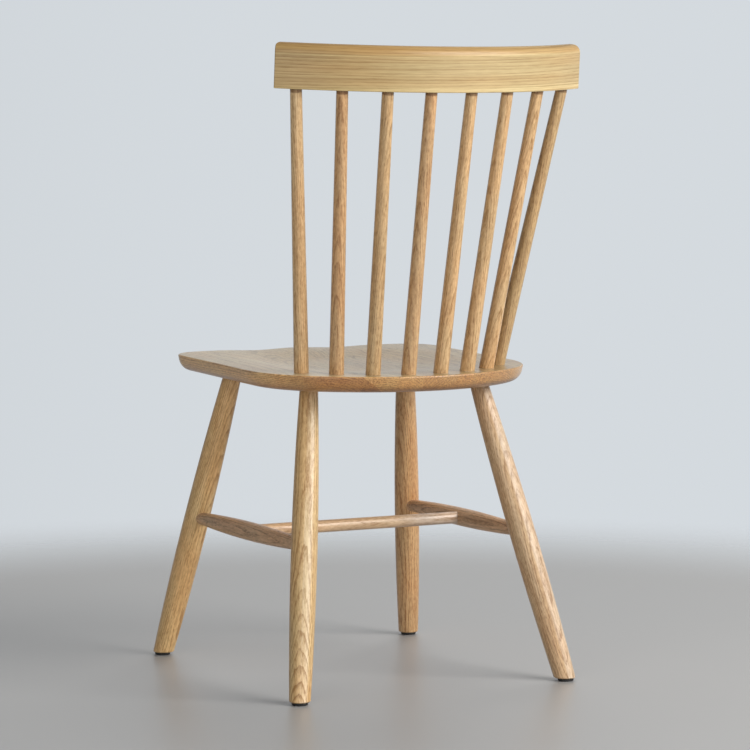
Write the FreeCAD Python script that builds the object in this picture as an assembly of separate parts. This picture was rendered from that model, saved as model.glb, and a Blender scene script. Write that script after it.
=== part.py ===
import FreeCAD, Part
import math
import os

# A windsor dining chair in oak: glued-up saddled seat, four splayed turned legs,
# two side stretchers joined by a cross stretcher, eight spindles and a bent crest rail.
# Millimetres. +Z up, the sitter faces -Y, +X is the sitter's left.
# The origin is on the floor under the middle of the chair's bounding box.

# Seat
SEAT_HEIGHT = 440.0
SEAT_TILT = 1.4
SEAT_WIDTH = 419.0
SEAT_DEPTH = 434.0
SEAT_THICKNESS = 23.0
SEAT_REAR_RADIUS = 260.0
SEAT_REAR_CORNER = 134.0
SEAT_FRONT_RADIUS = 1100.0
SEAT_FRONT_CORNER = 46.0
SEAT_EDGE_SLANT = 12.0
SEAT_TOP_ROUND = 2.0
SEAT_UNDER_ROUND = 19.0
BOARD_WIDTH = 82.0
BOARD_JOINT_OFFSET = 15.5
NARROWEST_BOARD = 40.0

# Hollow of the seat
BOWL_DEPTH = 7.0
BOWL_SIDE_RIM = 34.0
BOWL_REAR_RIM = 52.0
BOWL_FRONT_RIM = 24.0
BOWL_SQUARENESS = 2.6
BOWL_STEEPNESS = 1.6
THIGH_DEPTH = 2.5
THIGH_OFFSET = 62.0
THIGH_WIDTH = 44.0
THIGH_LENGTH = 150.0

# Legs, whose sockets are measured on the underside of the seat
REAR_LEG_SIDE_INSET = 76.8
REAR_LEG_BACK_INSET = 117.4
REAR_LEG_SIDE_SPLAY = 10.15
REAR_LEG_BACK_SPLAY = 16.3
FRONT_LEG_SIDE_INSET = 70.5
FRONT_LEG_FRONT_INSET = 86.4
FRONT_LEG_SIDE_SPLAY = 8.7
FRONT_LEG_FRONT_SPLAY = 14.6
LEG_TOP_DIAMETER = 25.2
LEG_SWELL_DIAMETER = 36.3
LEG_SWELL_HEIGHT = 188.0
LEG_FOOT_DIAMETER = 28.9
LEG_FOOT_BEVEL = 1.2
LEG_TENON_DIAMETER = 20.0
LEG_TENON_LENGTH = 15.0

# Stretchers
STRETCHER_HEIGHT = 205.7
SIDE_STRETCHER_DIAMETER = 26.2
SIDE_TENON_DIAMETER = 17.4
SIDE_TENON_LENGTH = 21.0
CROSS_STRETCHER_DIAMETER = 17.6
CROSS_TENON_DIAMETER = 17.0
CROSS_TENON_LENGTH = 14.0

# Spindles
SPINDLE_COUNT = 8
SPINDLE_REAR_INSET = 28.0
SPINDLE_FOOT_RADIUS = 200.0
SPINDLE_FOOT_STEP = 14.3
SPINDLE_TOP_STEP = 9.17
SPINDLE_FOOT_DIAMETER = 20.6
SPINDLE_TOP_DIAMETER = 16.1
SPINDLE_FOOT_TENON_DIAMETER = 14.0
SPINDLE_FOOT_TENON_LENGTH = 17.0
SPINDLE_TOP_TENON_DIAMETER = 12.0
SPINDLE_TOP_TENON_LENGTH = 27.0

# Crest rail
RAIL_HEIGHT_ABOVE_SEAT = 378.6
BACK_RAKE = 11.17
RAIL_LEAN = 4.6
RAIL_RADIUS = 384.0
RAIL_CHORD = 469.2
RAIL_WIDTH = 61.0
RAIL_THICKNESS = 26.0
RAIL_TOP_ROUND = 12.0
RAIL_BOTTOM_ROUND = 1.2
RAIL_CORNER_ROUND = 5.0
RAIL_END_ROUND = 1.2

# Foot pads and the nails that hold them
PAD_DIAMETER = 22.0
PAD_HEIGHT = 4.0
PAD_EDGE = 0.8
NAIL_HEAD_DIAMETER = 9.0
NAIL_HEAD_HEIGHT = 1.0
NAIL_HEAD_COVER = 1.6
NAIL_SHANK_DIAMETER = 2.4
NAIL_LENGTH = 18.0
NAIL_POINT = 3.0

# Clearances
GLUE_GAP = 0.1
SHOULDER_GAP = 0.1
BLIND_GAP = 1.0

# Reach of the trimming blocks, well past every piece
REACH = 4.0 * (SEAT_HEIGHT + SEAT_WIDTH + SEAT_DEPTH)

# Points along the seat grid in each direction
GRID_POINTS = 27

SIDES = {"left": 1, "right": -1}

V = FreeCAD.Vector
UP = V(0, 0, 1)
X_AXIS = V(1, 0, 0)


def tangent(degrees):
    return math.tan(math.radians(degrees))


def seat_placement():
    # the top plane of the seat, front edge raised by the tilt
    return FreeCAD.Placement(V(0, 0, SEAT_HEIGHT), FreeCAD.Rotation(X_AXIS, -SEAT_TILT))


def rail_placement():
    # the bottom plane of the rail at the middle of its thickness
    foot = seat_placement().multVec(V(0, spindle_arc_centre() + SPINDLE_FOOT_RADIUS, 0))
    back = foot.y + RAIL_HEIGHT_ABOVE_SEAT * tangent(BACK_RAKE)
    base = V(0, back, SEAT_HEIGHT + RAIL_HEIGHT_ABOVE_SEAT)
    return FreeCAD.Placement(base, FreeCAD.Rotation(X_AXIS, -RAIL_LEAN))


def half_space(placement, level, upward):
    # a block that fills one side of a plane parallel to the placement's own plane
    low = level if upward else level - REACH
    block = Part.makeBox(2 * REACH, 2 * REACH, REACH, V(-REACH, -REACH, low))
    block.Placement = placement
    return block


def rod(start, end, diameter):
    axis = end - start
    return Part.makeCylinder(diameter / 2, axis.Length, start, axis)


def turned(start, end, profile):
    # revolves (distance, radius) edges, drawn in the XZ plane, about the line start-end
    first = profile[0].Vertexes[0].Point
    last = profile[-1].Vertexes[-1].Point
    foot = V(0, 0, first.z)
    head = V(0, 0, last.z)
    closing = [Part.makeLine(last, head), Part.makeLine(head, foot), Part.makeLine(foot, first)]
    face = Part.Face(Part.Wire(profile + closing))
    solid = face.revolve(V(0, 0, 0), UP, 360)
    solid.Placement = FreeCAD.Placement(start, FreeCAD.Rotation(UP, end - start))
    return solid


def swell(middle, end, middle_radius, end_radius):
    # an arc that is parallel to the axis at the middle and falls to the end radius
    run = end - middle
    drop = middle_radius - end_radius
    radius = (run * run + drop * drop) / (2 * drop)
    half = run / 2
    half_drop = radius - math.sqrt(radius * radius - half * half)
    points = [V(middle_radius, 0, middle), V(middle_radius - half_drop, 0, middle + half), V(end_radius, 0, end)]
    if end < middle:
        points.reverse()
    return Part.Arc(*points).toShape()


def blind_hole(mouth, direction, diameter, depth):
    # starts above the mouth so that it cuts cleanly through a slanted or curved surface
    axis = V(direction).normalize()
    start = mouth - axis * diameter
    return rod(start, mouth + axis * (depth + BLIND_GAP), diameter + 2 * GLUE_GAP)


# Seat

def seat_outline(level):
    # rear arc, rear corners, straight sides, front corners and a nearly straight front,
    # drawn further in or out with the level because the edge slants
    inset = -level * tangent(SEAT_EDGE_SLANT)
    half = SEAT_WIDTH / 2 - inset
    tip = SEAT_DEPTH / 2 - inset
    rear_radius = SEAT_REAR_RADIUS - inset
    rear_corner = SEAT_REAR_CORNER - inset
    front_radius = SEAT_FRONT_RADIUS - inset
    front_corner = SEAT_FRONT_CORNER - inset
    rear_centre = tip - rear_radius
    corner_x = half - rear_corner
    reach = rear_radius - rear_corner
    corner_y = rear_centre + math.sqrt(reach * reach - corner_x * corner_x)
    toe_x = half - front_corner
    front_centre = front_radius - tip
    toe_reach = front_radius - front_corner
    toe_y = front_centre - math.sqrt(toe_reach * toe_reach - toe_x * toe_x)
    rear_angle = math.atan2(corner_x, corner_y - rear_centre)
    front_angle = math.atan2(toe_x, front_centre - toe_y)

    def on_arc(x, y, radius, angle):
        return V(x + radius * math.sin(angle), y + radius * math.cos(angle), level)

    quarter = math.pi / 2
    toe_end = math.pi - front_angle
    rear_joint = on_arc(corner_x, corner_y, rear_corner, rear_angle)
    rear_middle = on_arc(corner_x, corner_y, rear_corner, (rear_angle + quarter) / 2)
    side_rear = V(half, corner_y, level)
    side_front = V(half, toe_y, level)
    toe_middle = on_arc(toe_x, toe_y, front_corner, (quarter + toe_end) / 2)
    front_joint = on_arc(toe_x, toe_y, front_corner, toe_end)
    rear_tip = V(0, tip, level)
    front_tip = V(0, -tip, level)

    def mirrored(point):
        return V(-point.x, point.y, level)

    edges = [Part.Arc(mirrored(rear_joint), rear_tip, rear_joint).toShape()]
    edges.append(Part.Arc(rear_joint, rear_middle, side_rear).toShape())
    edges.append(Part.makeLine(side_rear, side_front))
    edges.append(Part.Arc(side_front, toe_middle, front_joint).toShape())
    edges.append(Part.Arc(front_joint, front_tip, mirrored(front_joint)).toShape())
    edges.append(Part.Arc(mirrored(front_joint), mirrored(toe_middle), mirrored(side_front)).toShape())
    edges.append(Part.makeLine(mirrored(side_front), mirrored(side_rear)))
    edges.append(Part.Arc(mirrored(side_rear), mirrored(rear_middle), mirrored(rear_joint)).toShape())
    return Part.Wire(edges)


def ease(value):
    # runs smoothly from 0 to 1 and is flat at both ends
    clamped = min(max(value, 0.0), 1.0)
    return clamped * clamped * (3 - 2 * clamped)


def seat_hollow(x, y):
    # a shallow bowl inside the rim, and two thigh hollows that run out over the front edge
    half_x = SEAT_WIDTH / 2 - BOWL_SIDE_RIM
    rear = SEAT_DEPTH / 2 - BOWL_REAR_RIM
    front = -SEAT_DEPTH / 2 + BOWL_FRONT_RIM
    middle = (rear + front) / 2
    half_y = (rear - front) / 2
    across = abs(x / half_x) ** BOWL_SQUARENESS
    along = abs((y - middle) / half_y) ** BOWL_SQUARENESS
    bowl = BOWL_DEPTH * ease(BOWL_STEEPNESS * (1 - (across + along) ** (1 / BOWL_SQUARENESS)))
    toward_front = ease((THIGH_LENGTH - SEAT_DEPTH / 2 - y) / THIGH_LENGTH)
    left = math.exp(-(((x - THIGH_OFFSET) / THIGH_WIDTH) ** 2))
    right = math.exp(-(((x + THIGH_OFFSET) / THIGH_WIDTH) ** 2))
    return bowl + THIGH_DEPTH * toward_front * (left + right)


def seat_top_cutter():
    # everything above the hollowed top surface
    margin = SEAT_THICKNESS
    width = SEAT_WIDTH + 2 * margin
    depth = SEAT_DEPTH + 2 * margin
    rows = []
    for i in range(GRID_POINTS):
        x = -width / 2 + width * i / (GRID_POINTS - 1)
        row = []
        for j in range(GRID_POINTS):
            y = -depth / 2 + depth * j / (GRID_POINTS - 1)
            row.append(V(x, y, -seat_hollow(x, y)))
        rows.append(row)
    surface = Part.BSplineSurface()
    surface.interpolate(rows)
    return surface.toShape().extrude(UP * (2 * SEAT_THICKNESS))


def seat_blank():
    # the whole seat before it is split into boards, in its own plane
    outlines = [seat_outline(-SEAT_THICKNESS), seat_outline(BOWL_DEPTH)]
    blank = Part.makeLoft(outlines, True, True)
    blank = blank.cut(seat_top_cutter()).Solids[0]
    under = [edge for edge in blank.Edges if edge.BoundBox.ZMax < -SEAT_THICKNESS + GLUE_GAP]
    blank = blank.makeFillet(SEAT_UNDER_ROUND, under)
    rim_depth = -2 * THIGH_DEPTH
    rim = [edge for edge in blank.Edges if edge.BoundBox.ZMin > rim_depth]
    rim = [edge for edge in rim if edge.BoundBox.DiagonalLength > SEAT_THICKNESS]
    blank = blank.makeFillet(SEAT_TOP_ROUND, rim)
    blank.Placement = seat_placement()
    return blank


def board_joints():
    limit = SEAT_WIDTH / 2 - NARROWEST_BOARD
    count = int(SEAT_WIDTH / BOARD_WIDTH) + 1
    places = [BOARD_JOINT_OFFSET + BOARD_WIDTH * k for k in range(-count, count + 1)]
    return [x for x in places if abs(x) <= limit]


def seat_boards(sockets):
    # boards run front to back, edge-glued
    seat = seat_blank().cut(sockets)
    joints = [-REACH] + board_joints() + [REACH]
    boards = {}
    for number, (low, high) in enumerate(zip(joints[:-1], joints[1:]), start=1):
        low_face = low + GLUE_GAP / 2
        width = high - low - GLUE_GAP
        strip = Part.makeBox(width, REACH, REACH, V(low_face, -REACH / 2, -REACH / 2))
        boards["seat_board_%d" % number] = seat.common(strip)
    return boards


# Legs

def leg_axis(rear, side):
    # socket centre on the seat's underside, and foot centre on the floor
    if rear:
        inset = REAR_LEG_SIDE_INSET
        y = SEAT_DEPTH / 2 - REAR_LEG_BACK_INSET
        slope = V(tangent(REAR_LEG_SIDE_SPLAY) * side, tangent(REAR_LEG_BACK_SPLAY), -1)
    else:
        inset = FRONT_LEG_SIDE_INSET
        y = FRONT_LEG_FRONT_INSET - SEAT_DEPTH / 2
        slope = V(tangent(FRONT_LEG_SIDE_SPLAY) * side, -tangent(FRONT_LEG_FRONT_SPLAY), -1)
    socket = seat_placement().multVec(V((SEAT_WIDTH / 2 - inset) * side, y, -SEAT_THICKNESS))
    foot = socket + slope * socket.z
    return socket, foot


def leg_point(rear, side, height):
    socket, foot = leg_axis(rear, side)
    return foot + (socket - foot) * (height / socket.z)


def leg_radius(rear, side, height):
    # the radius of the turned profile at a height above the floor
    socket, foot = leg_axis(rear, side)
    swell_radius = LEG_SWELL_DIAMETER / 2
    if height > LEG_SWELL_HEIGHT:
        run = socket.z - LEG_SWELL_HEIGHT
        drop = swell_radius - LEG_TOP_DIAMETER / 2
    else:
        run = LEG_SWELL_HEIGHT
        drop = swell_radius - LEG_FOOT_DIAMETER / 2
    share = (height - LEG_SWELL_HEIGHT) / run
    return swell_radius - drop * share * share


def leg_body(rear, side):
    # turned, widest near the stretchers, trimmed level at the foot and to the seat above
    socket, foot = leg_axis(rear, side)
    stretch = (socket - foot).Length / socket.z
    widest = LEG_SWELL_HEIGHT * stretch
    top = socket.z * stretch
    swell_radius = LEG_SWELL_DIAMETER / 2
    top_radius = LEG_TOP_DIAMETER / 2
    foot_radius = LEG_FOOT_DIAMETER / 2
    spare = LEG_TOP_DIAMETER
    profile = [Part.makeLine(V(foot_radius, 0, -spare), V(foot_radius, 0, 0))]
    profile.append(swell(widest, 0, swell_radius, foot_radius))
    profile.append(swell(widest, top, swell_radius, top_radius))
    profile.append(Part.makeLine(V(top_radius, 0, top), V(top_radius, 0, top + spare)))
    body = turned(foot, socket, profile)
    body = body.common(half_space(FreeCAD.Placement(), PAD_HEIGHT + SHOULDER_GAP, True))
    sole = [edge for edge in body.Edges if edge.BoundBox.ZMax < PAD_HEIGHT + 2 * SHOULDER_GAP]
    body = body.makeChamfer(LEG_FOOT_BEVEL, sole)
    return body.common(half_space(seat_placement(), -SEAT_THICKNESS - SHOULDER_GAP, False))


def leg(rear, side):
    socket, foot = leg_axis(rear, side)
    axis = (socket - foot).normalize()
    tenon = rod(socket - axis * LEG_TOP_DIAMETER, socket + axis * LEG_TENON_LENGTH, LEG_TENON_DIAMETER)
    whole = leg_body(rear, side).fuse(tenon).removeSplitter()
    inner = leg_point(rear, side, STRETCHER_HEIGHT)
    facing = leg_point(not rear, side, STRETCHER_HEIGHT) - inner
    mouth = inner + V(facing).normalize() * leg_radius(rear, side, STRETCHER_HEIGHT)
    whole = whole.cut(blind_hole(mouth, -facing, SIDE_TENON_DIAMETER, SIDE_TENON_LENGTH))
    return whole.cut(nail(foot, GLUE_GAP))


def leg_sockets():
    holes = []
    for side in SIDES.values():
        for rear in (True, False):
            socket, foot = leg_axis(rear, side)
            holes.append(blind_hole(socket, socket - foot, LEG_TENON_DIAMETER, LEG_TENON_LENGTH))
    return holes


# Stretchers

def stretcher(start, end, middle_diameter, tenon_diameter, shoulder, tenon_length):
    # swelled in the middle, straight where it enters the mortises
    # shoulder is how far from the start point the straight end begins
    axis = (end - start).normalize()
    half = (end - start).Length / 2
    tenon_radius = tenon_diameter / 2
    bare = half - shoulder
    tip = bare + tenon_length
    profile = [Part.makeLine(V(tenon_radius, 0, -tip), V(tenon_radius, 0, -bare))]
    profile.append(swell(0, -bare, middle_diameter / 2, tenon_radius))
    profile.append(swell(0, bare, middle_diameter / 2, tenon_radius))
    profile.append(Part.makeLine(V(tenon_radius, 0, bare), V(tenon_radius, 0, tip)))
    centre = (start + end) / 2
    return turned(centre, centre + axis, profile)


def side_stretcher(side):
    rear = leg_point(True, side, STRETCHER_HEIGHT)
    front = leg_point(False, side, STRETCHER_HEIGHT)
    shoulder = leg_radius(True, side, STRETCHER_HEIGHT)
    sizes = (SIDE_STRETCHER_DIAMETER, SIDE_TENON_DIAMETER, shoulder, SIDE_TENON_LENGTH)
    piece = stretcher(rear, front, *sizes)
    middle = (rear + front) / 2
    outward = V(side, 0, 0)
    mouth = middle - outward * (SIDE_STRETCHER_DIAMETER / 2)
    return piece.cut(blind_hole(mouth, outward, CROSS_TENON_DIAMETER, CROSS_TENON_LENGTH))


def cross_stretcher():
    ends = []
    for side in SIDES.values():
        rear = leg_point(True, side, STRETCHER_HEIGHT)
        front = leg_point(False, side, STRETCHER_HEIGHT)
        ends.append((rear + front) / 2)
    shoulder = SIDE_STRETCHER_DIAMETER / 2
    sizes = (CROSS_STRETCHER_DIAMETER, CROSS_TENON_DIAMETER, shoulder, CROSS_TENON_LENGTH)
    return stretcher(ends[0], ends[1], *sizes)


# Back

def spindle_arc_centre():
    return SEAT_DEPTH / 2 - SPINDLE_REAR_INSET - SPINDLE_FOOT_RADIUS


def spindle_axis(number):
    # from the top plane of the seat to the bottom plane of the rail
    place = (SPINDLE_COUNT - 1) / 2 - number
    foot_angle = math.radians(place * SPINDLE_FOOT_STEP)
    top_angle = math.radians(place * SPINDLE_TOP_STEP)
    foot_x = SPINDLE_FOOT_RADIUS * math.sin(foot_angle)
    foot_y = spindle_arc_centre() + SPINDLE_FOOT_RADIUS * math.cos(foot_angle)
    top_x = RAIL_RADIUS * math.sin(top_angle)
    top_y = RAIL_RADIUS * (math.cos(top_angle) - 1)
    foot = seat_placement().multVec(V(foot_x, foot_y, 0))
    top = rail_placement().multVec(V(top_x, top_y, 0))
    return foot, top


def spindle(number):
    # a straight taper between two planes, with a round tenon at each end
    foot, top = spindle_axis(number)
    length = (top - foot).Length
    axis = (top - foot).normalize()
    spare = SPINDLE_FOOT_DIAMETER
    growth = (SPINDLE_FOOT_DIAMETER - SPINDLE_TOP_DIAMETER) / 2 / length
    low = V(SPINDLE_FOOT_DIAMETER / 2 + growth * spare, 0, -spare)
    high = V(SPINDLE_TOP_DIAMETER / 2 - growth * spare, 0, length + spare)
    body = turned(foot, top, [Part.makeLine(low, high)])
    body = body.common(half_space(seat_placement(), SHOULDER_GAP, True))
    body = body.common(half_space(rail_placement(), -SHOULDER_GAP, False))
    foot_end = foot - axis * SPINDLE_FOOT_TENON_LENGTH
    foot_tenon = rod(foot_end, foot + axis * spare, SPINDLE_FOOT_TENON_DIAMETER)
    top_end = top + axis * SPINDLE_TOP_TENON_LENGTH
    top_tenon = rod(top - axis * spare, top_end, SPINDLE_TOP_TENON_DIAMETER)
    return body.fuse([foot_tenon, top_tenon]).removeSplitter()


def spindle_sockets():
    holes = []
    for number in range(SPINDLE_COUNT):
        foot, top = spindle_axis(number)
        holes.append(blind_hole(foot, foot - top, SPINDLE_FOOT_TENON_DIAMETER, SPINDLE_FOOT_TENON_LENGTH))
    return holes


def rail_section():
    # upright section with a rounded top and slightly eased bottom edges
    half = RAIL_THICKNESS / 2
    top = RAIL_WIDTH
    big = RAIL_TOP_ROUND
    small = RAIL_BOTTOM_ROUND

    def corner(x, z, radius, start):
        points = []
        for turn in (0, 45, 90):
            angle = math.radians(start - turn)
            points.append(V(0, x + radius * math.cos(angle), z + radius * math.sin(angle)))
        return Part.Arc(*points).toShape()

    left_top = corner(big - half, top - big, big, 180)
    right_top = corner(half - big, top - big, big, 90)
    right_bottom = corner(half - small, small, small, 0)
    left_bottom = corner(small - half, small, small, -90)
    arcs = [left_top, right_top, right_bottom, left_bottom]
    edges = []
    for arc, following in zip(arcs, arcs[1:] + arcs[:1]):
        edges.append(arc)
        edges.append(Part.makeLine(arc.Vertexes[-1].Point, following.Vertexes[0].Point))
    return Part.Face(Part.Wire(edges))


def rail_corner_cutter(side, half_angle):
    # what is rounded off an upper corner, seen square to the rail's face
    radius = RAIL_CORNER_ROUND
    depth = 2 * RAIL_THICKNESS
    centre = V(-radius, -RAIL_THICKNESS, RAIL_WIDTH - radius)
    block = Part.makeBox(2 * radius, depth, 2 * radius, centre)
    drum = Part.makeCylinder(radius, depth, centre, V(0, 1, 0))
    cutter = block.cut(drum)
    if side < 0:
        cutter = cutter.mirror(V(0, 0, 0), X_AXIS)
    arc_centre = V(0, -RAIL_RADIUS, 0)
    cutter.rotate(arc_centre, UP, -math.degrees(half_angle) * side)
    return cutter


def lies_on(face, point, normal):
    # whether every corner of the face is in the plane
    return all(abs((corner.Point - point).dot(normal)) < GLUE_GAP for corner in face.Vertexes)


def crest_rail():
    # bent to a cylinder that leans back, with blind mortises underneath
    half_angle = math.asin(RAIL_CHORD / 2 / (RAIL_RADIUS + RAIL_THICKNESS / 2))
    section = rail_section()
    arc_centre = V(0, -RAIL_RADIUS, 0)
    section.rotate(arc_centre, UP, -math.degrees(half_angle))
    rail = section.revolve(arc_centre, UP, 2 * math.degrees(half_angle))
    for side in SIDES.values():
        across = V(math.cos(half_angle), -math.sin(half_angle) * side, 0)
        ends = [face for face in rail.Faces if lies_on(face, arc_centre, across)]
        rail = rail.makeFillet(RAIL_END_ROUND, ends[0].Edges)
        rail = rail.cut(rail_corner_cutter(side, half_angle))
    rail.Placement = rail_placement()
    holes = []
    for number in range(SPINDLE_COUNT):
        foot, top = spindle_axis(number)
        holes.append(blind_hole(top, top - foot, SPINDLE_TOP_TENON_DIAMETER, SPINDLE_TOP_TENON_LENGTH))
    return rail.cut(holes)


# Foot pads

def nail(foot, clearance):
    # a disc head buried in the pad, and a pointed shank that is driven straight up
    head_radius = NAIL_HEAD_DIAMETER / 2 + clearance
    shank_radius = NAIL_SHANK_DIAMETER / 2 + clearance
    low = NAIL_HEAD_COVER - clearance
    neck = NAIL_HEAD_COVER + NAIL_HEAD_HEIGHT + clearance
    tip = NAIL_HEAD_COVER + NAIL_LENGTH + clearance
    base = V(foot.x, foot.y, 0)
    head = Part.makeCylinder(head_radius, neck - low, base + UP * low)
    shank = Part.makeCylinder(shank_radius, tip - NAIL_POINT - low, base + UP * low)
    point = Part.makeCone(shank_radius, 0, NAIL_POINT, base + UP * (tip - NAIL_POINT))
    return head.fuse([shank, point]).removeSplitter()


def foot_pad(foot):
    disc = Part.makeCylinder(PAD_DIAMETER / 2, PAD_HEIGHT, V(foot.x, foot.y, 0))
    disc = disc.makeChamfer(PAD_EDGE, [edge for edge in disc.Edges if edge.BoundBox.ZLength < GLUE_GAP])
    return disc.cut(nail(foot, GLUE_GAP))


# Assembly

def chair():
    nodes = seat_boards(leg_sockets() + spindle_sockets())
    nails = []
    for side_name, side in SIDES.items():
        for place, rear in (("rear", True), ("front", False)):
            foot = leg_axis(rear, side)[1]
            nodes["leg_%s_%s" % (place, side_name)] = leg(rear, side)
            nodes["foot_pad_%s_%s" % (place, side_name)] = foot_pad(foot)
            nails.append(nail(foot, 0.0))
        nodes["side_stretcher_%s" % side_name] = side_stretcher(side)
    nodes["foot_pad_nails"] = Part.makeCompound(nails)
    nodes["cross_stretcher"] = cross_stretcher()
    for number in range(SPINDLE_COUNT):
        nodes["spindle_%d" % (number + 1)] = spindle(number)
    nodes["crest_rail"] = crest_rail()
    return nodes


def single_solid(shape):
    # a cut or a trim can wrap its one solid in a compound
    solids = shape.Solids
    return solids[0] if len(solids) == 1 else Part.makeCompound(solids)


def main():
    os.makedirs("parts", exist_ok=True)
    nodes = {name: single_solid(shape) for name, shape in chair().items()}
    boxes = [shape.optimalBoundingBox(False) for shape in nodes.values()]
    middle_y = (min(box.YMin for box in boxes) + max(box.YMax for box in boxes)) / 2
    for name, shape in nodes.items():
        shape.translate(V(0, -middle_y, 0))
        shape.exportStep("parts/%s.step" % name)
        print("%-24s solids %d volume %.0f valid %s" % (name, len(shape.Solids), shape.Volume, shape.isValid()))
    low = min(box.YMin for box in boxes) - middle_y
    width = max(box.XMax for box in boxes) - min(box.XMin for box in boxes)
    height = max(box.ZMax for box in boxes)
    print("width %.1f depth %.1f height %.1f middle %.1f" % (width, -2 * low, height, middle_y))


main()
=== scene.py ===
import math

import bmesh
import bpy
import numpy as np
from mathutils import Matrix, Vector


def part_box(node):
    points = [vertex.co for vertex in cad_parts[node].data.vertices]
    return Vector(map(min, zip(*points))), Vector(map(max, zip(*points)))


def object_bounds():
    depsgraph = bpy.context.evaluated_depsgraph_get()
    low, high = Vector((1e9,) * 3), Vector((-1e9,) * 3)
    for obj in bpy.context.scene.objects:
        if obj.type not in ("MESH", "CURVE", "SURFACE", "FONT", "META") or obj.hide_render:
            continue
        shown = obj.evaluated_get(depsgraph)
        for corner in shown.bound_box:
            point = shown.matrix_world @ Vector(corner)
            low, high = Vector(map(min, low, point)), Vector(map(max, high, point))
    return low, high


# The windsor chair's looks. Metres, +Z up, the sitter faces -Y, +X is the sitter's left.

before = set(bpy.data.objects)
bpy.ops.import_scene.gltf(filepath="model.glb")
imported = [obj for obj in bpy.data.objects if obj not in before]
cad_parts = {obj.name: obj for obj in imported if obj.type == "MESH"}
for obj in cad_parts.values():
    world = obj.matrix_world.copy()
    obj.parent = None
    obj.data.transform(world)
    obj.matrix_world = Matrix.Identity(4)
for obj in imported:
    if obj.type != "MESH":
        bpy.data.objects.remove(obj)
cad_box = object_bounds()

MM = 1000.0
BACKWARD = Vector((0.0, 1.0, 0.0))
UPWARD = Vector((0.0, 0.0, 1.0))

# Camera, at the photograph's viewing angle. The angles are in degrees.
CAMERA_PLACE = Vector((2.1878, 4.2348, 0.8201))
CAMERA_AZIMUTH = 152.528
CAMERA_DOWN = 4.792
CAMERA_ROLL = 0.035
CAMERA_FOCAL_PIXELS = 3386.6
CAMERA_FAR = 100.0
IMAGE_PIXELS = 750
SENSOR_WIDTH = 36.0

TOWARD_CAMERA = Vector((CAMERA_PLACE.x, CAMERA_PLACE.y, 0.0)).normalized()
CAMERA_RIGHT = TOWARD_CAMERA.cross(-UPWARD).normalized()

# The mix node's sockets for colours
MIX_FIRST = 6
MIX_SECOND = 7
MIX_RESULT = 2

# A noise's middle, the range that most of it covers, and its detail
NOISE_MIDDLE = 0.5
MOST_OF_NOISE = (0.3, 0.7)
COARSE = 1.0
MEDIUM = 2.0
FINE = 3.0


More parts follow.
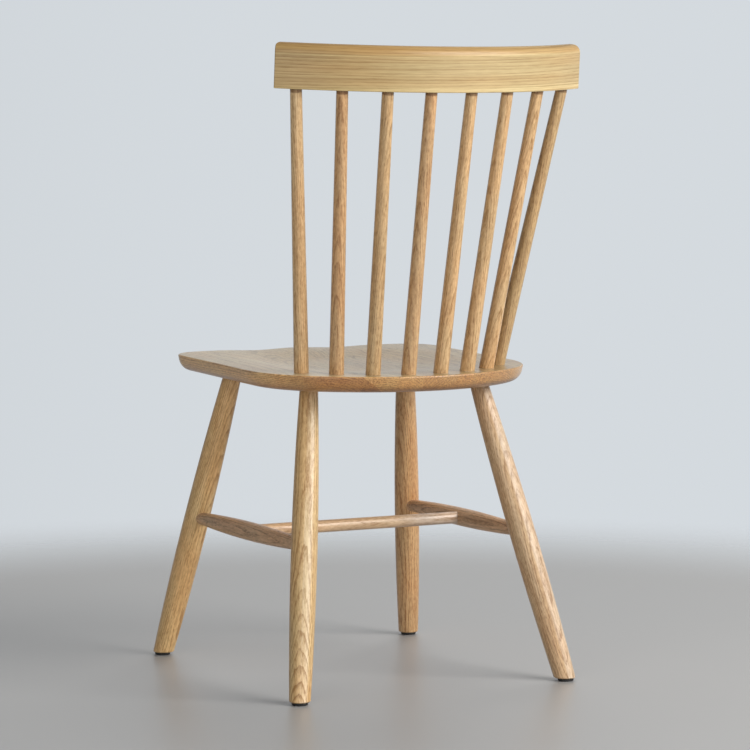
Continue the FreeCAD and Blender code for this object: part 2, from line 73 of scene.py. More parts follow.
class Graph:
    """Adds nodes to one node tree. An input is a number, a tuple or another node's output."""

    def __init__(self, tree):
        self.tree = tree

    def node(self, kind, **settings):
        made = self.tree.nodes.new(kind)
        for name, value in settings.items():
            setattr(made, name, value)
        return made

    def put(self, value, socket):
        if isinstance(value, bpy.types.NodeSocket):
            self.tree.links.new(value, socket)
        else:
            socket.default_value = value

    def math(self, operation, *values, clamp=False):
        made = self.node("ShaderNodeMath", operation=operation, use_clamp=clamp)
        for socket, value in zip(made.inputs, values):
            self.put(value, socket)
        return made.outputs[0]

    def plus(self, a, b):
        return self.math("ADD", a, b)

    def minus(self, a, b):
        return self.math("SUBTRACT", a, b)

    def times(self, a, b):
        return self.math("MULTIPLY", a, b)

    def times_plus(self, a, b, c):
        return self.math("MULTIPLY_ADD", a, b, c)

    def vector(self, operation, *values):
        made = self.node("ShaderNodeVectorMath", operation=operation)
        for socket, value in zip(made.inputs, values):
            self.put(value, socket)
        scalar = operation in ("LENGTH", "DOT_PRODUCT")
        return made.outputs["Value" if scalar else "Vector"]

    def combine(self, *values):
        made = self.node("ShaderNodeCombineXYZ")
        for socket, value in zip(made.inputs, values):
            self.put(value, socket)
        return made.outputs[0]

    def separate(self, vector):
        made = self.node("ShaderNodeSeparateXYZ")
        self.put(vector, made.inputs[0])
        return made.outputs

    def place(self):
        """The point's place in its object's own frame, in metres."""
        return self.node("ShaderNodeTexCoord").outputs["Object"]

    def normal(self):
        """The direction in which the surface faces, in its object's own frame."""
        return self.node("ShaderNodeTexCoord").outputs["Normal"]

    def place_seen_from(self, origin, turn):
        """The point's place in millimetres, from another origin and along turned axes."""
        mapping = self.node("ShaderNodeMapping", vector_type="TEXTURE")
        self.put(self.place(), mapping.inputs["Vector"])
        mapping.inputs["Location"].default_value = origin
        mapping.inputs["Rotation"].default_value = turn
        mapping.inputs["Scale"].default_value = (1 / MM, 1 / MM, 1 / MM)
        return mapping.outputs[0]

    def noise(self, vector, cell, detail, roughness=0.5):
        """Noise from 0 to 1. cell is the size of its patches in the vector's three directions."""
        made = self.node("ShaderNodeTexNoise")
        self.put(self.vector("DIVIDE", vector, cell), made.inputs["Vector"])
        made.inputs["Scale"].default_value = 1.0
        made.inputs["Detail"].default_value = detail
        made.inputs["Roughness"].default_value = roughness
        return made.outputs

    def waver(self, vector, cell, detail, roughness=0.5):
        """Noise on both sides of zero."""
        return self.minus(self.noise(vector, cell, detail, roughness)["Fac"], NOISE_MIDDLE)

    def ramp(self, value, stops):
        made = self.node("ShaderNodeValToRGB")
        self.put(value, made.inputs[0])
        elements = made.color_ramp.elements
        while len(elements) < len(stops):
            elements.new(0.5)
        for element, (position, level) in zip(elements, stops):
            element.position = position
            element.color = (level, level, level, 1.0)
        return made.outputs[0]

    def smooth(self, value, start, end):
        """0 up to the start and 1 from the end on. The end may be the smaller of the two."""
        made = self.node("ShaderNodeMapRange", interpolation_type="SMOOTHSTEP")
        for socket, number in zip(made.inputs, (value, start, end)):
            self.put(number, socket)
        return made.outputs[0]

    def mix(self, share, a, b, blend="MIX"):
        made = self.node("ShaderNodeMix", data_type="RGBA", blend_type=blend)
        self.put(share, made.inputs[0])
        self.put(a, made.inputs[MIX_FIRST])
        self.put(b, made.inputs[MIX_SECOND])
        return made.outputs[MIX_RESULT]

    def stain(self, share, tint, stain):
        """The tint, multiplied by the stain's colour as far as the share says."""
        return self.mix(share, tint, stain, "MULTIPLY")


def new_material(name):
    """A material with its graph and its shader."""
    material = bpy.data.materials.new(name)
    material.use_nodes = True
    return material, Graph(material.node_tree), material.node_tree.nodes["Principled BSDF"]


def add_bump(g, shader, height, strength, distance):
    bump = g.node("ShaderNodeBump")
    bump.inputs["Strength"].default_value = strength
    bump.inputs["Distance"].default_value = distance
    g.put(height, bump.inputs["Height"])
    g.put(bump.outputs[0], shader.inputs["Normal"])


def colour(red, green, blue):
    """The linear colour of an sRGB colour given in 0 to 255."""
    levels = []
    for level in (red, green, blue):
        share = level / 255.0
        low = share / 12.92
        high = ((share + 0.055) / 1.055) ** 2.4
        levels.append(low if share <= 0.04045 else high)
    return (*levels, 1.0)


# Oak. The grain vector is in millimetres: across, towards the flat-sawn face, and along the grain.
# Cells and shifts are in the same three directions.

OAK_INPUTS = {
    "NodeSocketVector": ["grain"],
    "NodeSocketColor": ["light", "dark"],
    "NodeSocketFloat": [
        "end_grain", "seed", "pith_across", "pith_depth", "ring_width", "bend", "bend_from",
        "figure", "fleck", "wear",
    ],
}
OAK_OUTPUTS = {"NodeSocketColor": ["tint"], "NodeSocketFloat": ["roughness", "height"]}

SEED_STEP = (173.0, 91.0, 317.0)

# Growth rings. In the two lists, each pair is a place within the ring and the level there.
SLOW_CELL = (70.0, 70.0, 260.0)
SLOW_SHIFT = (13.0, 13.0, 0.0)
QUICK_CELL = (9.0, 9.0, 42.0)
QUICK_SHIFT = (2.6, 2.6, 0.0)
UNEVEN_CELL = (1.7, 1.0, 1.0)
RING_TONE = [(0.0, 0.1), (0.06, 0.0), (0.16, 0.35), (0.4, 0.85), (0.8, 1.0), (0.97, 0.8), (1.0, 0.1)]
RING_MEAN_TONE = 0.72
RING_EARLY_WOOD = [(0.0, 0.8), (0.05, 1.0), (0.22, 0.8), (0.42, 0.15), (0.95, 0.05), (1.0, 0.8)]
FIGURE_CELL = (26.0, 26.0, 90.0)
FIGURE_LEAST = 0.4
FIGURE_MORE = 0.8

# Fibres, streaks, flecks and pores
FIBRE_CELL = (1.5, 1.5, 30.0)
FIBRE_NOISE_ROUGHNESS = 0.65
STREAK_CELL = (5.0, 5.0, 110.0)
FLECK_CELL = (2.3, 2.3, 7.5)
FLECK_NOISE_ROUGHNESS = 0.6
PORE_CELL = (1.0, 1.0, 7.0)
PORE_EDGE = (0.52, 0.66)
PORE_ANYWHERE = 0.3
PORE_EARLY = 0.7

# How far each of them lightens or darkens the wood
MEAN_LEVEL = 0.66
FIBRE_CONTRAST = 1.3
STREAK_CONTRAST = 0.9
FLECK_CONTRAST = 1.3
PORE_CONTRAST = -0.6
DRIFT_CELL = (30.0, 30.0, 110.0)
WARM_DRIFT = (1.02, 0.96, 0.90, 1.0)
COOL_DRIFT = (0.98, 1.02, 1.04, 1.0)
END_GRAIN_STAIN = (0.72, 0.60, 0.48, 1.0)
END_GRAIN_SHARE = 0.55
END_GRAIN_FACING = (0.55, 0.95)

# Wear along the edges, within a radius in metres
WORN_RADIUS = 0.0016
WORN_SAMPLES = 4
WORN_SHARPNESS = (0.01, 0.16)
WORN_CELL = (9.0, 9.0, 20.0)
WORN_PATCHES = (0.35, 0.65)
WORN_LEAST = 0.1
WORN_MORE = 0.5
WORN_COLOUR = (0.72, 0.58, 0.40, 1.0)

# The surface
ROUGHNESS = 0.36
PORE_ROUGHNESS = 0.16
END_GRAIN_ROUGHNESS = 0.14
WORN_ROUGHNESS = 0.25
FIBRE_ROUGHNESS = -0.16
FIBRE_HEIGHT = 0.35
PORE_HEIGHT = -1.0
EARLY_HEIGHT = -0.25


def add_sockets(group, direction, kinds):
    for kind, names in kinds.items():
        for name in names:
            group.interface.new_socket(name, in_out=direction, socket_type=kind)


def wander(g, place, cell, detail, shift):
    """A sideways shift that changes with the place."""
    noise = g.noise(place, cell, detail)["Color"]
    middle = (NOISE_MIDDLE, NOISE_MIDDLE, NOISE_MIDDLE)
    return g.vector("MULTIPLY", g.vector("SUBTRACT", noise, middle), shift)


def rings_from_pith(g, given, place):
    """The number of rings from the pith.

    The pith runs straight along the grain up to bend_from. A positive bend curves it away from the
    face below that place, and a negative one curves it towards the face above it.
    """
    slow = wander(g, place, SLOW_CELL, COARSE, SLOW_SHIFT)
    quick = wander(g, place, QUICK_CELL, MEDIUM, QUICK_SHIFT)
    x, y, z = g.separate(g.vector("ADD", g.vector("ADD", given["grain"], slow), quick))
    from_bend = g.times(g.minus(z, given["bend_from"]), g.math("SIGN", given["bend"]))
    past_bend = g.math("MINIMUM", from_bend, 0.0)
    sag = g.times(g.times(past_bend, past_bend), given["bend"])
    depth = g.plus(g.plus(y, given["pith_depth"]), sag)
    distance = g.vector("LENGTH", g.combine(g.minus(x, given["pith_across"]), depth, 0.0))
    rings = g.math("DIVIDE", distance, given["ring_width"])
    uneven = g.noise(g.combine(rings, given["seed"], 0.0), UNEVEN_CELL, COARSE)["Fac"]
    return g.plus(rings, uneven)


def worn_edges(g, given, place):
    """How far the lacquer has rubbed thin: in patches, along the edges."""
    bevel = g.node("ShaderNodeBevel", samples=WORN_SAMPLES)
    bevel.inputs["Radius"].default_value = WORN_RADIUS
    flat = g.vector("DOT_PRODUCT", bevel.outputs[0], g.node("ShaderNodeNewGeometry").outputs["Normal"])
    worn = g.smooth(g.minus(1.0, flat), *WORN_SHARPNESS)
    patchy = g.smooth(g.noise(place, WORN_CELL, FINE)["Fac"], *WORN_PATCHES)
    worn = g.times(worn, g.times_plus(patchy, WORN_MORE, WORN_LEAST))
    return g.times(worn, given["wear"])


def oak_group():
    group = bpy.data.node_groups.new("oak", "ShaderNodeTree")
    add_sockets(group, "INPUT", OAK_INPUTS)
    add_sockets(group, "OUTPUT", OAK_OUTPUTS)
    g = Graph(group)
    given = g.node("NodeGroupInput").outputs
    result = g.node("NodeGroupOutput").inputs

    # every piece reads another part of the same noise
    seed = given["seed"]
    offset = g.vector("MULTIPLY", g.combine(seed, seed, seed), SEED_STEP)
    place = g.vector("ADD", given["grain"], offset)

    # growth rings, which stand out more in some places than in others
    within = g.math("FRACT", rings_from_pith(g, given, place))
    tone = g.ramp(within, RING_TONE)
    early = g.ramp(within, RING_EARLY_WOOD)
    strength = g.smooth(g.noise(place, FIGURE_CELL, COARSE)["Fac"], *MOST_OF_NOISE)
    strength = g.times(given["figure"], g.times_plus(strength, FIGURE_MORE, FIGURE_LEAST))
    level = g.times_plus(g.minus(tone, RING_MEAN_TONE), strength, MEAN_LEVEL)

    # fibres, streaks, short flecks and open pores, drawn out along the grain and round across it
    fibre = g.waver(place, FIBRE_CELL, FINE, FIBRE_NOISE_ROUGHNESS)
    streak = g.waver(place, STREAK_CELL, MEDIUM)
    fleck = g.waver(place, FLECK_CELL, MEDIUM, FLECK_NOISE_ROUGHNESS)
    pore = g.smooth(g.noise(place, PORE_CELL, COARSE)["Fac"], *PORE_EDGE)
    pore = g.times(pore, g.times_plus(early, PORE_EARLY, PORE_ANYWHERE))
    speckle = g.plus(given["end_grain"], 1.0)
    level = g.times_plus(g.times(fibre, speckle), FIBRE_CONTRAST, level)
    level = g.times_plus(streak, STREAK_CONTRAST, level)
    level = g.times_plus(g.times(g.times(fleck, speckle), given["fleck"]), FLECK_CONTRAST, level)
    level = g.times_plus(g.times(pore, given["fleck"]), PORE_CONTRAST, level)
    tint = g.mix(g.math("ADD", level, 0.0, clamp=True), given["dark"], given["light"])

    # broad drifts between a warmer and a cooler brown, and darker end grain
    drift = g.smooth(g.noise(place, DRIFT_CELL, MEDIUM)["Fac"], *MOST_OF_NOISE)
    tint = g.stain(1.0, tint, g.mix(drift, WARM_DRIFT, COOL_DRIFT))
    tint = g.stain(g.times(given["end_grain"], END_GRAIN_SHARE), tint, END_GRAIN_STAIN)
    worn = worn_edges(g, given, place)
    g.put(g.mix(worn, tint, WORN_COLOUR), result["tint"])

    rough = g.times_plus(given["end_grain"], END_GRAIN_ROUGHNESS, ROUGHNESS)
    rough = g.times_plus(pore, PORE_ROUGHNESS, rough)
    rough = g.times_plus(worn, WORN_ROUGHNESS, rough)
    g.put(g.times_plus(fibre, FIBRE_ROUGHNESS, rough), result["roughness"])
    height = g.times_plus(fibre, FIBRE_HEIGHT, g.times(pore, PORE_HEIGHT))
    g.put(g.times_plus(early, EARLY_HEIGHT, height), result["height"])
    return group


OAK = oak_group()


def points(node):
    """The places of a piece's vertices, one in each row."""
    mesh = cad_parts[node].data
    flat = np.empty(len(mesh.vertices) * 3)
    mesh.vertices.foreach_get("co", flat)
    return flat.reshape(-1, 3)


def long_axis(node):
    """The middle of a straight piece and the direction in which it is longest."""
    cloud = points(node)
    middle = (cloud.min(0) + cloud.max(0)) / 2
    spread = np.linalg.svd(cloud - cloud.mean(0), full_matrices=False)[2][0]
    return Vector(middle), Vector(spread if spread[2] >= 0 else -spread)


def is_end_grain(g, normal, along):
    """1 where the surface cuts the grain, 0 where it runs along it."""
    facing = g.math("ABSOLUTE", g.vector("DOT_PRODUCT", normal, along))
    return g.smooth(facing, *END_GRAIN_FACING)


def straight_grain(g, middle, axis, face, runout):
    """The grain vector and the end grain. The grain leaves the piece's axis by runout degrees."""
    outward = (face - axis * face.dot(axis)).normalized()
    along = (axis + outward * math.tan(math.radians(runout))).normalized()
    outward = (outward - along * outward.dot(along)).normalized()
    turn = Matrix((outward.cross(along), outward, along)).transposed().to_euler()
    return g.place_seen_from(middle, turn), is_end_grain(g, g.normal(), tuple(turn.to_matrix().col[2]))


# The crest rail's bend. Its lean and the slant of its grain are in degrees, the lengths in metres.

RAIL_LEAN = 4.6
RAIL_RADIUS = 0.384
RAIL_SLANT = 0.6
RAIL_MIDDLE = 0.03
RAIL_UNDERSIDE = 0.003
RAIL_DRAWN_OUT = 2.5


def rail_underside():
    """The middle of the crest rail's underside."""
    cloud = points("crest_rail")
    middle = cloud[np.abs(cloud[:, 0]) < RAIL_MIDDLE]
    low = middle[middle[:, 2] < middle[:, 2].min() + RAIL_UNDERSIDE]
    base = (low.min(0) + low.max(0)) / 2
    return Vector((0.0, base[1], base[2]))


def bent_grain(g):
    """The rail's grain follows its bend: across its thickness, up its face, and along the arc.

    The last of the three is shortened, which draws the figure out along the rail.
    """
    lean = Matrix.Rotation(math.radians(-RAIL_LEAN), 3, "X")
    centre = rail_underside() + lean @ Vector((0.0, -RAIL_RADIUS, 0.0))
    x, y, z = g.separate(g.place_seen_from(centre, lean.to_euler()))
    along = g.times(g.math("ARCTAN2", x, y), RAIL_RADIUS * MM)
    up = g.times_plus(along, math.tan(math.radians(RAIL_SLANT)), z)
    depth = g.minus(g.vector("LENGTH", g.combine(x, y, 0.0)), RAIL_RADIUS * MM)
    vector = g.combine(depth, up, g.math("DIVIDE", along, RAIL_DRAWN_OUT))
    tangent = g.vector("NORMALIZE", g.combine(y, g.times(x, -1.0), 0.0))
    turned = g.node("ShaderNodeMapping", vector_type="NORMAL")
    g.put(g.normal(), turned.inputs["Vector"])
    turned.inputs["Rotation"].default_value = lean.inverted().to_euler()
    return vector, is_end_grain(g, turned.outputs[0], tangent)


# Light and dark wood of each tone, in sRGB.

TONES = {
    "yellow": ((220, 186, 134), (162, 122, 74)),
    "red": ((213, 172, 124), (153, 105, 61)),
    "pink": ((211, 178, 139), (152, 115, 80)),
    "gold": ((229, 191, 136), (171, 128, 76)),
    "middle": ((213, 177, 131), (154, 116, 74)),
    "dull": ((196, 166, 122), (138, 107, 70)),
    "light": ((220, 186, 140), (161, 121, 78)),
    "rose": ((220, 188, 152), (168, 130, 94)),
    "brown": ((206, 167, 122), (148, 108, 70)),
    "olive": ((205, 172, 128), (148, 114, 74)),
    "crest": ((194, 169, 123), (150, 122, 79)),
    "seat": ((203, 158, 98), (138, 96, 50)),
    "seat pale": ((216, 170, 108), (156, 112, 60)),
    "seat left": ((236, 190, 129), (172, 124, 75)),
    "shade": ((212, 173, 136), (146, 116, 88)),
}

# How a piece was sawn, unless its own call says otherwise: the pith's place and the ring's width in
# millimetres, how much the pith bends and from where, how strong the rings and the flecks are, and
# how worn it is.
USUAL_CUT = {
    "pith_across": 0.0,
    "pith_depth": 70.0,
    "ring_width": 2.6,
    "bend": 0.0,
    "bend_from": 0.0,
    "figure": 0.5,
    "fleck": 1.0,
    "wear": 1.0,
}
COAT_ROUGHNESS = 0.36
COAT_IOR = 1.5

# A bump is a strength, and a distance in metres.
WOOD_BUMP = (0.25, 0.0002)


def satin_wood(name, tone, seed, grain, lacquer, gloss=0.3, glaze=None, wear=None, **cut):
    """Lacquered oak. grain, glaze and wear are functions that add their nodes to the graph.

    lacquer is the weight of the clear coat, and gloss the shine of the wood under it.
    """
    material, g, shader = new_material(name)
    vector, end_grain = grain(g)
    light, dark = TONES[tone]
    values = {
        "grain": vector,
        "end_grain": end_grain,
        "seed": seed,
        "light": colour(*light),
        "dark": colour(*dark),
        **USUAL_CUT,
        **cut,
    }
    if wear:
        values["wear"] = wear(g)
    oak = g.node("ShaderNodeGroup", node_tree=OAK)
    for key, value in values.items():
        g.put(value, oak.inputs[key])
    tint = oak.outputs["tint"]
    g.put(glaze(g, tint, vector) if glaze else tint, shader.inputs["Base Color"])
    g.put(oak.outputs["roughness"], shader.inputs["Roughness"])
    shader.inputs["Coat Weight"].default_value = lacquer
    shader.inputs["Coat Roughness"].default_value = COAT_ROUGHNESS
    shader.inputs["Coat IOR"].default_value = COAT_IOR
    shader.inputs["Specular IOR Level"].default_value = gloss
    add_bump(g, shader, oak.outputs["height"], *WOOD_BUMP)
    return material


def dress(node, material):
    """Gives the material to the piece's slots."""
    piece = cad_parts[node]
    for place in piece.material_slots:
        place.material = material


def dress_turned(node, tone, seed, turn, runout, lacquer=0.4, glaze=None, **cut):
    """A turned piece. turn is where its flat-sawn face looks, in degrees to the right of the camera."""
    middle, axis = long_axis(node)
    angle = math.radians(turn)
    face = TOWARD_CAMERA * math.cos(angle) + CAMERA_RIGHT * math.sin(angle)

    def grain(g):
        return straight_grain(g, middle, axis, face, runout)

    dress(node, satin_wood(node, tone, seed, grain, lacquer, glaze=glaze, **cut))


# Seat. A board's width, and one joint's place to the sitter's left of the middle, in millimetres.

BOARD_WIDTH = 82.0
BOARD_JOINT = 15.5
JOINT_UNWORN = (1.5, 5.0)

# Painted light and a stain: a painted reflection on the top, painted shade on the underside and a browner
# back; and the part of the normal at which each starts and is full
PAINTED_REFLECTION_FACING = (0.8, 0.97)
PAINTED_TOP_REFLECTION = (0.84, 1.05, 1.36, 1.0)
PAINTED_SHADE_FACING = (-0.45, -0.85)
PAINTED_UNDERSIDE_SHADE = (0.62, 0.50, 0.42, 1.0)
BACK_FACING = (0.3, 0.8)
BACK_STAIN = (0.66, 0.55, 0.42, 1.0)

# The slanted glue line, in millimetres in the board's grain vector
SLANT = 1.4
SLANT_PLACE = 41.0
WEDGE_EDGE = (0.5, -0.5)
WEDGE_STAIN = (0.76, 0.66, 0.58, 1.0)
LINE_PLACE = 1.2
LINE_EDGE = (1.0, 0.4)
LINE_SHARE = 0.7
LINE_STAIN = (1.35, 1.38, 1.42, 1.0)


def away_from_joints(g):
    """No wear where two seat boards meet."""
    from_joint = g.times_plus(g.separate(g.place())[0], MM, -BOARD_JOINT)
    return g.smooth(g.math("PINGPONG", from_joint, BOARD_WIDTH / 2), *JOINT_UNWORN)


def seat_board(g, tint, vector):
    """Painted reflection: the top is greyer and bluer where it faces up. Painted shade: the underside is
    darker and browner.
    """
    upward = g.separate(g.normal())[2]
    # painted reflection on the upward faces, then painted shade on the downward ones
    tint = g.stain(g.smooth(upward, *PAINTED_REFLECTION_FACING), tint, PAINTED_TOP_REFLECTION)
    return g.stain(g.smooth(upward, *PAINTED_SHADE_FACING), tint, PAINTED_UNDERSIDE_SHADE)


def brown_back(g, tint, vector):
    """The board's edge is a darker brown where it faces the back."""
    rearward = g.separate(g.normal())[1]
    return seat_board(g, g.stain(g.smooth(rearward, *BACK_FACING), tint, BACK_STAIN), vector)


def slanted_joint(g, tint, vector):
    """A darker wedge beside a pale glue line that runs down the board's end at a slant."""
    across, up = g.separate(vector)[:2]
    past_line = g.times_plus(up, SLANT, g.plus(across, SLANT_PLACE))
    tint = g.stain(g.smooth(past_line, *WEDGE_EDGE), tint, WEDGE_STAIN)
    line = g.smooth(g.math("ABSOLUTE", g.minus(past_line, LINE_PLACE)), *LINE_EDGE)
    return seat_board(g, g.stain(g.times(line, LINE_SHARE), tint, LINE_STAIN), vector)


def dress_board(node, tone, seed, runout, glaze=seat_board, **cut):
    """A seat board, sawn front to back. Its flat-sawn face looks up."""
    middle = sum(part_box(node), Vector()) / 2

    def grain(g):
        return straight_grain(g, middle, BACKWARD, UPWARD, runout)

    wood = satin_wood(
        node, tone, seed, grain, lacquer=1.0, gloss=0.5, glaze=glaze, wear=away_from_joints,
        ring_width=3.2, figure=0.6, **cut,
    )
    dress(node, wood)


def dress_seat():
    dress_board("seat_board_1", "seat", seed=11.0, runout=1.0, pith_across=14.0, pith_depth=60.0)
    dress_board("seat_board_2", "seat", seed=12.0, runout=-1.2, pith_across=-10.0, pith_depth=85.0)
    dress_board("seat_board_3", "seat", seed=13.0, runout=0.8, pith_across=22.0, pith_depth=70.0)
    dress_board(
        "seat_board_4", "seat pale", seed=14.0, runout=1.4, glaze=slanted_joint,
        pith_across=-18.0, pith_depth=95.0,
    )
    dress_board(
        "seat_board_5", "seat left", seed=15.0, runout=-0.9, glaze=brown_back,
        pith_across=8.0, pith_depth=75.0,
    )


# Legs and stretchers. The pale strips, partly the wood's figure and partly a painted highlight, are in
# millimetres, and the place of the painted highlight at the cross stretcher's end is in metres to the
# sitter's left.

STRIP_FADE = (-1.0, 1.5)
STRIP_DEPTH = (0.0, 3.0)
# The strips' colours: partly paler quarter-sawn figure, partly a painted highlight on the side towards
# the key light
PALE_FIGURE_AND_HIGHLIGHT = (1.08, 1.18, 1.46, 1.0)
PINK_FIGURE_AND_HIGHLIGHT = (1.06, 1.15, 1.34, 1.0)
# The painted highlight on the cross stretcher's lit end
PAINTED_HIGHLIGHT_PLACE = (-0.05, -0.11)
PAINTED_HIGHLIGHT_TINT = (0.90, 0.99, 1.22, 1.0)


def figure_and_highlight_strip(left, right, stain):
    """A paler strip along a piece, partly the wood's figure and partly a painted highlight, from left to
    right in millimetres to the left of its face's middle.
    """
    outside, inside = STRIP_FADE

    def glaze(g, tint, vector):
        across, depth = g.separate(vector)[:2]
        from_right = g.smooth(across, right + outside, right + inside)
        from_left = g.smooth(across, left + inside, left + outside)
        share = g.times(g.times(from_right, from_left), g.smooth(depth, *STRIP_DEPTH))
        return g.stain(share, tint, stain)

    return glaze


def painted_highlight_end(g, tint, vector):
    """Painted highlight: the cross stretcher is whiter and less yellow towards the sitter's right, the
    lit side.
    """
    leftward = g.separate(g.place())[0]
    return g.stain(g.smooth(leftward, *PAINTED_HIGHLIGHT_PLACE), tint, PAINTED_HIGHLIGHT_TINT)


def dress_legs():
    dress_turned(
        "leg_rear_left", "yellow", seed=21.0, turn=-6.0, runout=0.0,
        glaze=figure_and_highlight_strip(left=-2.0, right=-12.0, stain=PALE_FIGURE_AND_HIGHLIGHT),
        pith_depth=44.0, ring_width=2.7, figure=0.75, bend=4.6e-4, bend_from=24.0,
    )
    dress_turned(
        "leg_rear_right", "pink", seed=22.0, turn=38.0, runout=0.0, lacquer=0.2,
        glaze=figure_and_highlight_strip(left=7.0, right=-11.0, stain=PINK_FIGURE_AND_HIGHLIGHT),
        pith_depth=62.0, ring_width=2.4, figure=0.65, bend=-2.2e-4, bend_from=-90.0,
    )
    dress_turned("leg_front_left", "gold", seed=23.0, turn=60.0, runout=1.0, pith_depth=80.0, figure=0.6)
    dress_turned("leg_front_right", "red", seed=24.0, turn=-50.0, runout=1.4, figure=0.6)


def dress_stretchers():
    dress_turned(
        "side_stretcher_left", "shade", seed=31.0, turn=70.0, runout=1.2, lacquer=0.12,
        pith_depth=60.0, ring_width=2.8, figure=0.7,
    )
    dress_turned(
        "side_stretcher_right", "shade", seed=32.0, turn=-70.0, runout=1.0, lacquer=0.12,
        pith_depth=75.0, ring_width=2.8, figure=0.6,
    )
    dress_turned(
        "cross_stretcher", "rose", seed=33.0, turn=40.0, runout=1.2, lacquer=0.6,
        glaze=painted_highlight_end, pith_depth=60.0,
    )


# Spindles, from the sitter's left. The lengths are in millimetres, the angles in degrees.

SPINDLE_TONES = ["light", "brown", "olive", "brown", "middle", "middle", "middle", "dull"]
SPINDLE_FIRST_SEED = 41.0
SPINDLE_TURN_STEP = 67.0
SPINDLE_TURN_SPAN = 150.0
SPINDLE_RUNOUT = 1.2
SPINDLE_RUNOUT_STEP = 0.7
SPINDLE_RUNOUTS = 4
SPINDLE_TOP_TENON = 27.0
# The painted shadow that the crest rail casts on each spindle's top
PAINTED_RAIL_SHADOW_EDGE = (-4.5, -2.5)
PAINTED_RAIL_SHADOW_SHARE = 0.8
PAINTED_RAIL_SHADOW = (0.36, 0.28, 0.21, 1.0)


def painted_rail_shadow(node):
    """Painted shadow: a darker ring at the spindle's top, where the rail overhangs it."""
    axis = long_axis(node)[1]
    half = MM * np.ptp(points(node) @ np.array(axis)) / 2
    start, end = (half - SPINDLE_TOP_TENON + edge for edge in PAINTED_RAIL_SHADOW_EDGE)

    def glaze(g, tint, vector):
        shade = g.smooth(g.separate(vector)[2], start, end)
        return g.stain(g.times(shade, PAINTED_RAIL_SHADOW_SHARE), tint, PAINTED_RAIL_SHADOW)

    return glaze


def dress_spindles():
    for index, tone in enumerate(SPINDLE_TONES):
        node = "spindle_%d" % (index + 1)
        seed = SPINDLE_FIRST_SEED + index
        turn = (index * SPINDLE_TURN_STEP) % SPINDLE_TURN_SPAN - SPINDLE_TURN_SPAN / 2
        runout = SPINDLE_RUNOUT + (index % SPINDLE_RUNOUTS) * SPINDLE_RUNOUT_STEP
        dress_turned(node, tone, seed, turn, runout, lacquer=0.3, glaze=painted_rail_shadow(node))


# Crest rail, in millimetres up its face or along it. The painted highlight line's pairs are a share of
# the rail's height and a level.

RAIL_HEIGHT = 61.0
RAIL_ROUND = 12.0
RAIL_WANDER_CELL = (60.0, 60.0, 60.0)
RAIL_WANDER = 3.0
RAIL_TOP_EDGE = (-0.5, 1.5)
RAIL_TOP_SHARE = 0.8
RAIL_TOP_STAIN = (0.90, 0.80, 0.66, 1.0)
RAIL_HIGHLIGHT_LINE = [(0.76, 0.0), (0.785, 1.0), (0.80, 1.0), (0.82, 0.0)]
RAIL_HIGHLIGHT_SHARE = 0.7
RAIL_BOTTOM_EDGE = (9.0, 3.0)
RAIL_BOTTOM_SHARE = 0.9
RAIL_PALE_WOOD_AND_HIGHLIGHT = (1.22, 1.28, 1.32, 1.0)
# The painted shade towards the sitter's left end of the rail
RAIL_SHADED_SPAN = (-20.0, 220.0)
RAIL_PAINTED_SHADE = (0.86, 0.80, 0.70, 1.0)


def rail_bands(g, tint, vector):
    """The rounded top is a warmer brown over a pale line, which is a painted highlight, and the bottom
    edge is pale.

    The sitter's left end, away from the key light, is darker and browner than the right one: painted
    shade.
    """
    up = g.times_plus(g.waver(vector, RAIL_WANDER_CELL, MEDIUM), RAIL_WANDER, g.separate(vector)[1])
    top = g.smooth(up, *(RAIL_HEIGHT - RAIL_ROUND + edge for edge in RAIL_TOP_EDGE))
    line = g.ramp(g.math("DIVIDE", up, RAIL_HEIGHT), RAIL_HIGHLIGHT_LINE)
    bottom = g.smooth(up, *RAIL_BOTTOM_EDGE)
    painted_shade = g.smooth(g.separate(vector)[2], *(place / RAIL_DRAWN_OUT for place in RAIL_SHADED_SPAN))
    tint = g.stain(painted_shade, tint, RAIL_PAINTED_SHADE)
    tint = g.stain(g.times(top, RAIL_TOP_SHARE), tint, RAIL_TOP_STAIN)
    # painted highlight along the line where the rounded top meets the face; the pale bottom edge is the
    # wood's own
    tint = g.stain(g.times(line, RAIL_HIGHLIGHT_SHARE), tint, RAIL_PALE_WOOD_AND_HIGHLIGHT)
    return g.stain(g.times(bottom, RAIL_BOTTOM_SHARE), tint, RAIL_PALE_WOOD_AND_HIGHLIGHT)


def dress_rail():
    wood = satin_wood(
        "crest_rail", "crest", seed=51.0, grain=bent_grain, lacquer=0.15, glaze=rail_bands,
        pith_across=6.0, pith_depth=60.0, ring_width=4.4, figure=0.6, fleck=0.35,
    )
    dress("crest_rail", wood)


# Foot pads and their nails, in metres

SCUFF_CELL = (0.006, 0.006, 0.002)
SCUFF_EDGE = (0.4, 0.75)
PLASTIC_CELL = (0.0004, 0.0004, 0.0004)
PLASTIC_COLOUR = (0.006, 0.006, 0.006, 1.0)
PLASTIC_SCUFFED = (0.028, 0.026, 0.024, 1.0)
PLASTIC_ROUGHNESS = 0.38
PLASTIC_MORE_ROUGHNESS = 0.3
PLASTIC_BUMP = (0.4, 0.0001)
RUST_CELL = (0.003, 0.003, 0.003)
RUST_EDGE = (0.55, 0.8)
DRAWN_CELL = (0.0003, 0.0003, 0.006)
STEEL_COLOUR = (0.52, 0.51, 0.49, 1.0)
RUST_COLOUR = (0.28, 0.18, 0.11, 1.0)
STEEL_ROUGHNESS = 0.22
STEEL_MORE_ROUGHNESS = 0.2


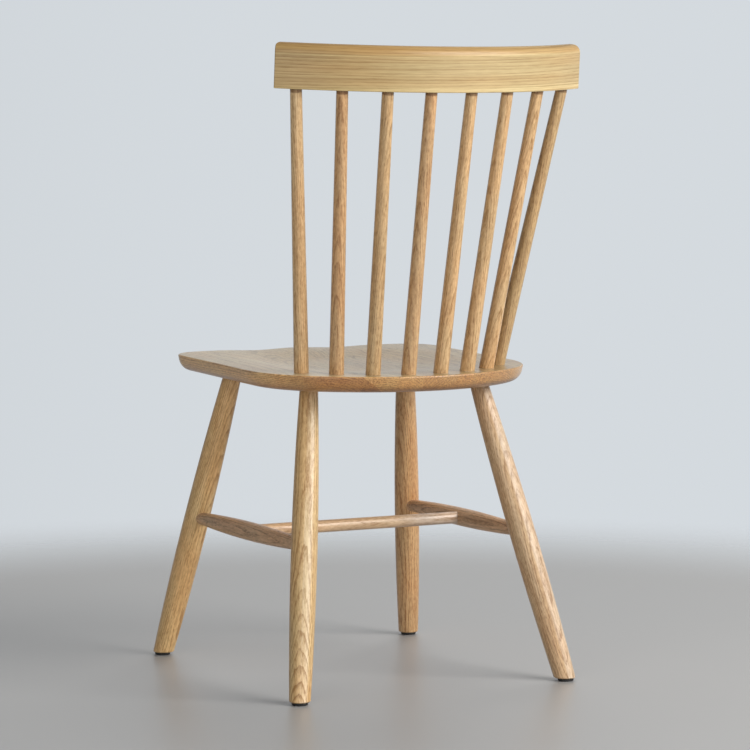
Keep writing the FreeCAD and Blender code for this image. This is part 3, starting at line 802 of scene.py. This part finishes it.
def pad_plastic():
    """Matt black plastic with a fine moulded texture."""
    material, g, shader = new_material("pad_plastic")
    scuff = g.noise(g.place(), SCUFF_CELL, FINE)["Fac"]
    texture = g.noise(g.place(), PLASTIC_CELL, MEDIUM)["Fac"]
    tint = g.mix(g.smooth(scuff, *SCUFF_EDGE), PLASTIC_COLOUR, PLASTIC_SCUFFED)
    g.put(tint, shader.inputs["Base Color"])
    g.put(g.times_plus(scuff, PLASTIC_MORE_ROUGHNESS, PLASTIC_ROUGHNESS), shader.inputs["Roughness"])
    add_bump(g, shader, texture, *PLASTIC_BUMP)
    return material


def nail_steel():
    """Bright drawn wire with faint rust stains."""
    material, g, shader = new_material("nail_steel")
    rust = g.smooth(g.noise(g.place(), RUST_CELL, FINE)["Fac"], *RUST_EDGE)
    drawn = g.noise(g.place(), DRAWN_CELL, MEDIUM)["Fac"]
    g.put(g.mix(rust, STEEL_COLOUR, RUST_COLOUR), shader.inputs["Base Color"])
    g.put(g.times_plus(drawn, STEEL_MORE_ROUGHNESS, STEEL_ROUGHNESS), shader.inputs["Roughness"])
    shader.inputs["Metallic"].default_value = 1.0
    return material


def dress_feet():
    plastic = pad_plastic()
    for place in ("rear_left", "rear_right", "front_left", "front_right"):
        dress("foot_pad_" + place, plastic)
    dress("foot_pad_nails", nail_steel())


# Stage, in metres

FLOOR_RADIUS = 3.2
FLOOR_SEGMENTS = 128
FLOOR_FADE = (1.0, 1.8)
FLOOR_GAP = 0.0002
FLOOR_CELL = (0.5, 0.5, 0.5)
FLOOR_DARK = (0.35, 0.344, 0.337, 1.0)
FLOOR_LIGHT = (0.40, 0.396, 0.392, 1.0)
FLOOR_ROUGHNESS = 0.33
FLOOR_MORE_ROUGHNESS = 0.1

# The world's colours, and the part of the direction at which each dimmer one starts and is full
WORLD_LOW = (0.66, 0.70, 0.735, 1.0)
WORLD_HIGH = (0.29, 0.295, 0.3, 1.0)
WORLD_UPWARD = (0.15, 0.6)
WORLD_LEFT = (0.36, 0.36, 0.36, 1.0)
WORLD_LEFTWARD = (0.0, 0.8)


def floor_material():
    """Grey and slightly glossy. It fades out with distance, so that no edge of it shows."""
    material, g, shader = new_material("floor")
    cloud = g.noise(g.place(), FLOOR_CELL, FINE)["Fac"]
    g.put(g.mix(cloud, FLOOR_DARK, FLOOR_LIGHT), shader.inputs["Base Color"])
    g.put(g.times_plus(cloud, FLOOR_MORE_ROUGHNESS, FLOOR_ROUGHNESS), shader.inputs["Roughness"])
    clear = g.node("ShaderNodeBsdfTransparent")
    blend = g.node("ShaderNodeMixShader")
    g.put(g.smooth(g.vector("LENGTH", g.place()), *FLOOR_FADE), blend.inputs[0])
    g.put(shader.outputs[0], blend.inputs[1])
    g.put(clear.outputs[0], blend.inputs[2])
    g.put(blend.outputs[0], material.node_tree.nodes["Material Output"].inputs["Surface"])
    return material


def make_floor():
    mesh = bpy.data.meshes.new("floor")
    shape = bmesh.new()
    bmesh.ops.create_circle(shape, cap_ends=True, radius=FLOOR_RADIUS, segments=FLOOR_SEGMENTS)
    shape.to_mesh(mesh)
    shape.free()
    floor = bpy.data.objects.new("floor", mesh)
    floor.location.z = cad_box[0].z - FLOOR_GAP
    bpy.context.scene.collection.objects.link(floor)
    mesh.materials.append(floor_material())


def make_world():
    """Pale near and below the horizon, dimmer overhead and to the camera's left."""
    world = bpy.data.worlds.new("studio")
    bpy.context.scene.world = world
    world.use_nodes = True
    g = Graph(world.node_tree)
    direction = g.node("ShaderNodeTexCoord").outputs["Generated"]
    upward = g.separate(direction)[2]
    leftward = g.vector("DOT_PRODUCT", direction, tuple(-CAMERA_RIGHT))
    shade = g.mix(g.smooth(upward, *WORLD_UPWARD), WORLD_LOW, WORLD_HIGH)
    shade = g.stain(g.smooth(leftward, *WORLD_LEFTWARD), shade, WORLD_LEFT)
    g.put(shade, world.node_tree.nodes["Background"].inputs["Color"])


def softbox(name, right, forward, up, size, power, tint, mirrored=True):
    """An area light aimed at the chair, placed in metres to the camera's right, towards it, and up.

    The floor and the lacquer show no glare from a light that isn't mirrored.
    """
    target = Vector((0.0, 0.0, (cad_box[0].z + cad_box[1].z) / 2))
    data = bpy.data.lights.new(name, "AREA")
    data.shape = "RECTANGLE"
    data.size, data.size_y = size
    data.energy = power
    data.color = tint
    light = bpy.data.objects.new(name, data)
    light.location = target + CAMERA_RIGHT * right + TOWARD_CAMERA * forward + UPWARD * up
    light.rotation_euler = (target - light.location).to_track_quat("-Z", "Y").to_euler()
    light.visible_glossy = mirrored
    bpy.context.scene.collection.objects.link(light)


def make_lights():
    warm = (1.0, 0.98, 0.95)
    neutral = (1.0, 0.99, 0.97)
    softbox("key", right=2.8, forward=1.5, up=1.6, size=(2.4, 1.8), power=130.0, tint=warm)
    softbox("fill", right=-1.0, forward=3.4, up=0.7, size=(2.0, 1.8), power=24.0, tint=neutral)
    softbox(
        "front", right=0.4, forward=-3.0, up=2.6, size=(2.4, 1.8), power=70.0, tint=neutral,
        mirrored=False,
    )


def make_camera():
    data = bpy.data.cameras.new("camera")
    data.sensor_width = SENSOR_WIDTH
    data.lens = CAMERA_FOCAL_PIXELS * SENSOR_WIDTH / IMAGE_PIXELS
    data.clip_end = CAMERA_FAR
    camera = bpy.data.objects.new("camera", data)
    around = math.radians(CAMERA_AZIMUTH)
    down = math.radians(CAMERA_DOWN)
    level = Vector((-math.sin(around), math.cos(around), 0.0))
    forward = level * math.cos(down) - UPWARD * math.sin(down)
    roll = Matrix.Rotation(math.radians(CAMERA_ROLL), 3, "Z")
    turn = forward.to_track_quat("-Z", "Y").to_matrix() @ roll
    camera.matrix_world = Matrix.Translation(CAMERA_PLACE) @ turn.to_4x4()
    bpy.context.scene.collection.objects.link(camera)
    bpy.context.scene.camera = camera


make_camera()
dress_seat()
dress_legs()
dress_stretchers()
dress_spindles()
dress_rail()
dress_feet()
make_floor()
make_world()
make_lights()
bpy.context.scene.view_settings.view_transform = "Standard"
